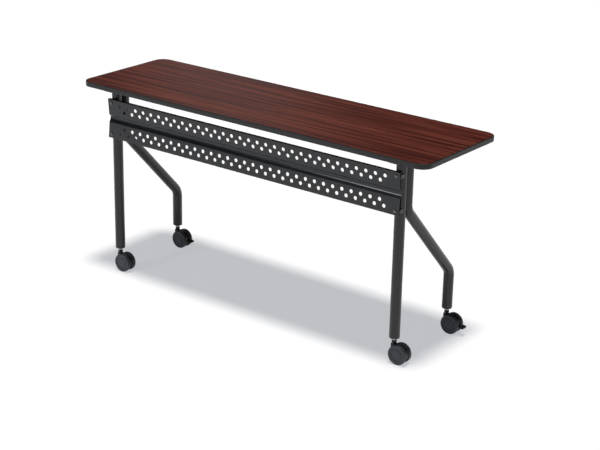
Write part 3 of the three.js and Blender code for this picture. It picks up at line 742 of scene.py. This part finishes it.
def build_legs():
    """Both pairs of tubes, with the plates, ties, hinges and rest pads at their heads."""
    for side in SIDES:
        node = f"{side}_front_leg"
        low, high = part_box(node)
        radius = (high.x - low.x) / 2
        x = (low.x + high.x) / 2
        y = (low.y + high.y) / 2
        straight = [(y, high.z, 0), (y, low.z, 0)]
        piece(f"{side}_front_tube", tube_mesh(node, x, straight, radius),
              "frame", "black_frame", FRAME_COAT, node)
        node = f"{side}_rear_leg"
        low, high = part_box(node)
        bent = rear_stations(low.y + radius, high.y - radius, high.z, low.z)
        piece(f"{side}_rear_tube", tube_mesh(node, x, bent, radius),
              "frame", "black_frame", FRAME_COAT, node)
        for name, body, width in (
                ("head_plate", "frame", PLATE_EDGE), ("leg_tie", "frame", THIN_EDGE),
                ("hinge_frame_leaf", "frame", THIN_EDGE), ("hinge_top_leaf", "top", THIN_EDGE)):
            softened(f"{side}_{name}", body, "black_frame", FRAME_COAT, width)
        softened(f"{side}_rest_pad", "frame", "pad_rubber", RUBBER, PAD_EDGE, MOULDED_SEGMENTS)
        coat(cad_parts[f"{side}_hinge_pin"].data, ZINC)


# Modesty panel

def folded(corners, radii, steps=6):
    """An open line of corners with each inner one bent round its radius."""
    made = [corners[0]]
    for before, corner, after, radius in zip(corners, corners[1:], corners[2:], radii):
        tip = Vector(corner)
        to_before = (Vector(before) - tip).normalized()
        to_after = (Vector(after) - tip).normalized()
        reach = radius / math.tan(to_before.angle(to_after) / 2)
        start = tip + to_before * reach
        end = tip + to_after * reach
        for step in range(steps + 1):
            share = step / steps
            bend = (1 - share) ** 2 * start + 2 * share * (1 - share) * tip + share ** 2 * end
            made.append(tuple(bend))
    made.append(corners[-1])
    return made


def panel_outline():
    """Closed section of the folded sheet as (y, z), with rounded folds."""
    low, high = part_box("modesty_panel")
    middle = (low.z + high.z) / 2
    fold = low.y + PANEL_LEAN
    floor = fold + GROOVE_DEPTH
    top, floor_top, floor_bottom, bottom = (middle + height for height in GROOVE_HEIGHTS)
    corners = [
        (low.y + PANEL_FLANGE, high.z), (low.y, high.z), (fold, top), (floor, floor_top),
        (floor, floor_bottom), (fold, bottom), (low.y, low.z), (low.y + PANEL_FLANGE, low.z),
    ]
    front = folded(corners, (EDGE_FOLD_R, FOLD_R, FOLD_R, COVE_R, EDGE_FOLD_R, EDGE_FOLD_R))
    back = []
    for k, point in enumerate(front):
        ahead = Vector(front[min(k + 1, len(front) - 1)]) - Vector(front[max(k - 1, 0)])
        normal = Vector((-ahead.y, ahead.x)).normalized()
        back.append(tuple(Vector(point) + normal * SHEET))
    return front + back[::-1]


def cross_recess(mesh, centre, radius):
    """Cuts a cross drive into a head that faces -Y."""
    size = (radius * DRIVE_LENGTH, DRIVE_BAR, radius * DRIVE_WIDTH)
    cuts = []
    for turn in (0, math.pi / 2):
        bar = block(size, Matrix.Translation(centre) @ Matrix.Rotation(turn, 4, "Y"))
        cuts.append(("DIFFERENCE", host_of(mesh_of(bar, "drive"))))
    return mesh_of(form_of(carved(host_of(mesh), cuts)), "recessed_head")


def panel_screw(node):
    """A pan-head screw that faces -Y, with a cross recess."""
    low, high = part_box(node)
    radius = (high.x - low.x) / 2
    centre = Vector(((low.x + high.x) / 2, low.y, (low.z + high.z) / 2))
    length = high.y - low.y
    dome = [(radius * math.sin(a), PAN_HEAD * PAN_DOME_SHARE * (1 - math.cos(a)))
            for a in quarter_turn(PAN_DOME_STEPS)]
    profile = [*dome, (radius, PAN_HEAD), (PAN_SHANK_R, PAN_HEAD), (PAN_SHANK_R, length), (0, length)]
    head = mesh_of(turned(profile, centre, (0, 1, 0), SMALL_SIDES), node)
    piece(f"{node}_head", cross_recess(head, centre, radius),
          "frame", "screw_steel", SCREW_STEEL, node)


def build_panel():
    """The pierced sheet on its standoffs, with the screws that hold it."""
    low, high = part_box("modesty_panel")
    section = panel_outline()
    mesh = mesh_of(loft([[(x, y, z) for y, z in section] for x in (low.x, high.x)]), "folded_sheet")
    middle = (low.z + high.z) / 2
    for height, count in ((OUTER_ROW, OUTER_HOLES), (INNER_ROW, INNER_HOLES),
                          (-INNER_ROW, INNER_HOLES), (-OUTER_ROW, OUTER_HOLES)):
        mesh = DRILLED_ROW.run(
            mesh, Hole_Radius=HOLE_R, Hole_Pitch=HOLE_PITCH, Hole_Count=count,
            Row_Middle=(0.0, low.y, middle + height), Drill_Length=DRILL_LENGTH, Material=PANEL_COAT)
    pierced = mesh_of(form_of(mesh), "perforated_panel", PANEL_SMOOTH_ANGLE)
    piece("perforated_panel", pierced, "frame", "panel_steel", PANEL_COAT, "modesty_panel")
    for side in SIDES:
        for level in ("upper", "lower"):
            softened(f"{side}_{level}_standoff", "frame", "black_frame", FRAME_COAT, PLATE_EDGE)
            panel_screw(f"{side}_{level}_panel_screw")


# Release bar and underside

def build_release_bar():
    """The rod with its paddle and hooks, in two brackets."""
    low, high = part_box("release_rod")
    radius = (high.z - low.z) / 2
    centre = (low.x, (low.y + high.y) / 2, (low.z + high.z) / 2)
    length = high.x - low.x
    profile = [(0, 0), (radius - ROD_CHAMFER, 0), (radius, ROD_CHAMFER), (radius, length - ROD_CHAMFER),
               (radius - ROD_CHAMFER, length), (0, length)]
    rod = mesh_of(turned(profile, centre, (1, 0, 0), SMALL_SIDES), "release_rod")
    piece("release_bar_rod", rod, "release_bar", "zinc_steel", ZINC, "release_rod")
    softened("release_paddle", "release_bar", "black_plastic", BLACK_PLASTIC,
             MOULDED_EDGE, MOULDED_SEGMENTS)
    for side in SIDES:
        softened(f"{side}_latch_hook", "release_bar", "zinc_steel", ZINC, HOOK_EDGE)
        softened(f"{side}_rod_bracket", "top", "black_plastic", BLACK_PLASTIC, PLATE_EDGE)


def wood_screw():
    """A pan head that looks down from the underside, at the origin."""
    dome = [(WOOD_HEAD_R * math.sin(a), -WOOD_HEAD + WOOD_HEAD * (1 - math.cos(a)))
            for a in quarter_turn(WOOD_DOME_STEPS)]
    return mesh_of(turned([*dome, (0, 0)], (0, 0, 0), (0, 0, 1), WOOD_HEAD_SIDES), "wood_screw")


def build_underside_screws():
    """Screws that hold hinge leaves and brackets to the underside."""
    form = bmesh.new()
    for side in SIDES:
        for node, columns, column_share, rows, row_share, shift in SCREW_GRIDS:
            low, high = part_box(f"{side}_{node}")
            made = REPEAT.run(
                wood_screw(), Columns=columns, Rows=rows,
                Column_Span=(high.x - low.x) * column_share, Row_Span=(high.y - low.y) * row_share,
                Middle=((low.x + high.x) / 2, (low.y + high.y) / 2 + shift, high.z - SCREW_SEAT),
                Material=SCREW_STEEL)
            form.from_mesh(made)
    piece("underside_screws", mesh_of(form, "underside_screws"), "top", "screw_steel", SCREW_STEEL)


# Casters

def wheel_mesh(node, outward):
    """One wheel of a pair: round-shouldered tread, raised rim, and a face with a ring groove."""
    low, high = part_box(node)
    width = high.y - low.y
    centre = ((low.x + high.x) / 2, low.y if outward > 0 else high.y, (low.z + high.z) / 2)
    round_r = WHEEL_SHOULDER
    arc = quarter_turn(SHOULDER_STEPS)
    inner = [(WHEEL_R - round_r + round_r * math.sin(a), round_r - round_r * math.cos(a)) for a in arc]
    outer = [(WHEEL_R - round_r + round_r * math.cos(a), width - round_r + round_r * math.sin(a))
             for a in arc]
    hub = [(radius * MM, depth * MM) for radius, depth in HUB_STEPS]
    rim = WHEEL_R - WHEEL_RIM
    ring = rim * RING_SHARE
    face = [(rim - inward * MM, width - depth * MM) for inward, depth in RIM_STEPS]
    face += [(ring + out * MM, width - depth * MM) for out, depth in RING_STEPS]
    face += [(ring / 2, width - DISC_DEPTH), (0, width - CENTRE_DEPTH)]
    return mesh_of(turned([*hub, *inner, *outer, *face], centre, (0, outward, 0), WHEEL_SIDES), node)


def hood_mesh(node):
    """The hood between the wheels: a rounded web with the swivel boss on its neck."""
    low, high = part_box(node.replace("hood", "axle"))
    axle = (low + high) / 2
    back, front = -TRAIL - NECK_WIDTH / 2, -TRAIL + NECK_WIDTH / 2
    end = math.acos(front / HOOD_R)
    arc = [HOOD_START + (end - HOOD_START) * k / HOOD_STEPS for k in range(HOOD_STEPS + 1)]
    outline = [(HOOD_R * math.cos(a), HOOD_R * math.sin(a)) for a in arc]
    outline += [(front, HOOD_TOP), (back, HOOD_TOP), (back, HOOD_BACK_Z), (front, HOOD_BELLY_Z),
                (-front, HOOD_BELLY_Z)]
    rings = [[(axle.x + x, side, axle.z + z) for x, z in outline]
             for side in (axle.y - HOOD_WIDTH / 2, axle.y + HOOD_WIDTH / 2)]
    host = host_of(mesh_of(loft(rings), "hood_web"))
    round_edges(host, MOULDED_EDGE, MOULDED_SEGMENTS, HOOD_SOFT_ANGLE)
    profile = [(0, -BOSS_BASE), (BOSS_R / 2, -BOSS_BASE), (BOSS_R, 0),
               (BOSS_R, BOSS_HEIGHT - BOSS_CHAMFER), (BOSS_R - BOSS_CHAMFER, BOSS_HEIGHT),
               (0, BOSS_HEIGHT)]
    boss = turned(profile, (axle.x - TRAIL, axle.y, axle.z + HOOD_TOP), (0, 0, 1), BOSS_SIDES)
    steps = [("UNION", host_of(mesh_of(boss, "boss")))]
    if "rear" in node:
        slot = block(BRAKE_SLOT_SIZE, Matrix.Translation(axle + BRAKE_SLOT_PLACE))
        steps.append(("DIFFERENCE", host_of(mesh_of(slot, "brake_slot"))))
    return mesh_of(form_of(carved(host, steps)), node)


def stem_mesh(node):
    """A turned stem: pivot, collar, flat nut and the shank in the plug."""
    low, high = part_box(node)
    radius = (high.x - low.x) / 2
    centre = ((low.x + high.x) / 2, (low.y + high.y) / 2, low.z)
    top = high.z - low.z
    profile = [
        (0, 0), (STEM_PIVOT_R, 0), (STEM_PIVOT_R, STEM_COLLAR_LOW),
        (radius - STEM_EDGE, STEM_COLLAR_LOW), (radius, STEM_COLLAR_LOW + STEM_EDGE),
        (radius, STEM_COLLAR_HIGH - STEM_EDGE), (STEM_NUT_R, STEM_COLLAR_HIGH),
        (STEM_NUT_R, STEM_NUT_HIGH - STEM_EDGE), (STEM_NUT_R - STEM_EDGE, STEM_NUT_HIGH),
        (STEM_R, STEM_NUT_HIGH), (STEM_R, top - STEM_CHAMFER), (STEM_R - STEM_CHAMFER, top), (0, top),
    ]
    return mesh_of(turned(profile, centre, (0, 0, 1), SMALL_SIDES), node)


def plug_mesh(node):
    """A ring-shaped plug: a lip with a rounded lower edge below the part inside the tube."""
    low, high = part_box(node)
    radius = (high.x - low.x) / 2
    x, y = (low.x + high.x) / 2, (low.y + high.y) / 2
    inside = radius - PLUG_SHOULDER
    top = high.z - low.z
    profile = [
        (PLUG_BORE_R, 0), (radius - PLUG_ROUND, 0), (radius - PLUG_ROUND_MIDDLE, PLUG_ROUND_MIDDLE),
        (radius, PLUG_ROUND), (radius, PLUG_LIP), (inside, PLUG_LIP), (inside, top), (PLUG_BORE_R, top),
    ]
    loops = [[(x + r * math.cos(t), y + r * math.sin(t), low.z + z) for t in full_turn(TUBE_SIDES)]
             for r, z in profile]
    return mesh_of(loft(loops, closed=True), node)


def brake_pieces(corner):
    """The brake lever, with grip ribs across its pedal."""
    node = f"{corner}_brake_lever"
    softened(node, f"{corner}_brake", "caster_plastic", BLACK_PLASTIC, MOULDED_EDGE, MOULDED_SEGMENTS)
    low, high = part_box(node)
    rib = block((RIB_WIDTH, RIB_LENGTH, RIB_WIDTH))
    bmesh.ops.bevel(rib, geom=rib.edges[:], offset=RIB_EDGE, segments=2, affect="EDGES")
    slope = math.atan(PEDAL_FALL / PEDAL_LENGTH)
    pedal_top = (low.z + high.z) / 2 + PEDAL_RISE - PEDAL_FALL / 2
    ribs = REPEAT.run(
        mesh_of(rib, "grip_rib"), Columns=RIB_COUNT, Rows=1, Column_Span=RIB_SPAN, Row_Span=0.0,
        Middle=(high.x - PEDAL_LENGTH / 2, (low.y + high.y) / 2, pedal_top), Turn=(0.0, slope, 0.0),
        Material=BLACK_PLASTIC)
    piece(f"{corner}_pedal_ribs", ribs, f"{corner}_brake", "caster_plastic", BLACK_PLASTIC)


def build_casters():
    """Four twin-wheel casters with their stems and plugs, and brakes on the rear ones."""
    for corner in CORNERS:
        for letter, outward in (("a", -1), ("b", 1)):
            node = f"{corner}_wheel_{letter}"
            piece(f"{node}_tread", wheel_mesh(node, outward),
                  node, "caster_plastic", CASTER_PLASTIC, node)
        node = f"{corner}_caster_hood"
        piece(f"{corner}_hood", hood_mesh(node),
              f"{corner}_caster", "caster_plastic", BLACK_PLASTIC, node)
        node = f"{corner}_caster_stem"
        piece(f"{corner}_stem", stem_mesh(node), "frame", "zinc_steel", ZINC, node)
        node = f"{corner}_leg_plug"
        piece(f"{corner}_plug", plug_mesh(node), "frame", "black_plastic", BLACK_PLASTIC, node)
        coat(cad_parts[f"{corner}_caster_axle"].data, ZINC)
        if corner.endswith("rear"):
            brake_pieces(corner)


# Floor, light and camera

def build_floor():
    """A pale floor that keeps the shadow and reads as white to the camera and in reflections."""
    form = bmesh.new()
    bmesh.ops.create_grid(form, x_segments=1, y_segments=1, size=FLOOR_REACH)
    floor = host_of(mesh_of(form, "studio_floor"))
    floor.name = "studio_floor"
    finish = Finish("studio_floor", 1.0, specular=0.0)
    finish.shader.inputs["Base Color"].default_value = FLOOR_COLOUR
    path = finish.node("ShaderNodeLightPath")
    glow = finish.node("ShaderNodeEmission")
    glow.inputs["Color"].default_value = FLOOR_GLOW_COLOUR
    seen = path.outputs["Is Camera Ray"]
    for ray in ("Is Glossy Ray", "Is Transmission Ray"):
        either = finish.node("ShaderNodeMath", operation="MAXIMUM")
        finish.link(seen, either.inputs[0])
        finish.link(path.outputs[ray], either.inputs[1])
        seen = either.outputs[0]
    faint = finish.node("ShaderNodeMath", operation="MULTIPLY")
    faint.inputs[1].default_value = FLOOR_GLOW
    finish.link(seen, faint.inputs[0])
    finish.link(faint.outputs[0], glow.inputs["Strength"])
    both = finish.node("ShaderNodeAddShader")
    finish.link(finish.shader.outputs[0], both.inputs[0])
    finish.link(glow.outputs[0], both.inputs[1])
    finish.link(both.outputs[0], finish.tree.nodes["Material Output"].inputs["Surface"])
    floor.data.materials.append(finish.material)


def build_world():
    """A dim room that is a little brighter towards the horizon."""
    world = bpy.data.worlds.new("studio")
    bpy.context.scene.world = world
    world.use_nodes = True
    tree = world.node_tree
    direction = tree.nodes.new("ShaderNodeTexCoord")
    parts = tree.nodes.new("ShaderNodeSeparateXYZ")
    tree.links.new(direction.outputs["Generated"], parts.inputs[0])
    fade = tree.nodes.new("ShaderNodeMapRange")
    for name, value in (("From Min", HORIZON_LOW), ("From Max", HORIZON_HIGH),
                        ("To Min", HORIZON_LEVEL), ("To Max", WORLD_LEVEL)):
        fade.inputs[name].default_value = value
    tree.links.new(parts.outputs["Z"], fade.inputs["Value"])
    background = tree.nodes["Background"]
    background.inputs["Color"].default_value = (1, 1, 1, 1)
    tree.links.new(fade.outputs["Result"], background.inputs["Strength"])


def place_lamp(lamp, place, direction):
    """Sets a lamp at a place, facing a direction."""
    made = bpy.data.objects.new(lamp.name, lamp)
    bpy.context.scene.collection.objects.link(made)
    made.location = place
    made.rotation_euler = direction.to_track_quat("-Z", "Y").to_euler()


def build_lamps():
    """A soft overhead lamp and two soft boxes."""
    overhead = bpy.data.lights.new("overhead", "SUN")
    overhead.energy = OVERHEAD_LEVEL
    overhead.angle = OVERHEAD_SPREAD
    place_lamp(overhead, OVERHEAD_PLACE, OVERHEAD_AIM)
    for name, power, size, place, target in (
            ("side_box", SIDE_POWER, SIDE_SIZE, SIDE_PLACE, SIDE_TARGET),
            ("back_box", BACK_POWER, BACK_SIZE, BACK_PLACE, BACK_TARGET)):
        box = bpy.data.lights.new(name, "AREA")
        box.shape = "RECTANGLE"
        box.size, box.size_y = size
        box.energy = power
        place_lamp(box, place, target - place)


def build_camera():
    """A camera at the photograph's viewing angle."""
    lens = bpy.data.cameras.new("camera")
    lens.sensor_width = SENSOR
    lens.lens = FOCAL_PIXELS * SENSOR / PICTURE_WIDTH
    lens.clip_end = CAMERA_FAR
    made = bpy.data.objects.new("camera", lens)
    bpy.context.scene.collection.objects.link(made)
    made.location = CAMERA_PLACE
    ahead = Vector((-math.sin(CAMERA_YAW) * math.cos(CAMERA_PITCH),
                    math.cos(CAMERA_YAW) * math.cos(CAMERA_PITCH), -math.sin(CAMERA_PITCH)))
    roll = Quaternion((0, 0, 1), CAMERA_ROLL)
    made.rotation_euler = (ahead.to_track_quat("-Z", "Y") @ roll).to_euler()
    bpy.context.scene.camera = made


build_camera()
build_top()
build_legs()
build_panel()
build_release_bar()
build_underside_screws()
build_casters()
build_floor()
build_world()
build_lamps()
bpy.context.scene.view_settings.view_transform = "Standard"
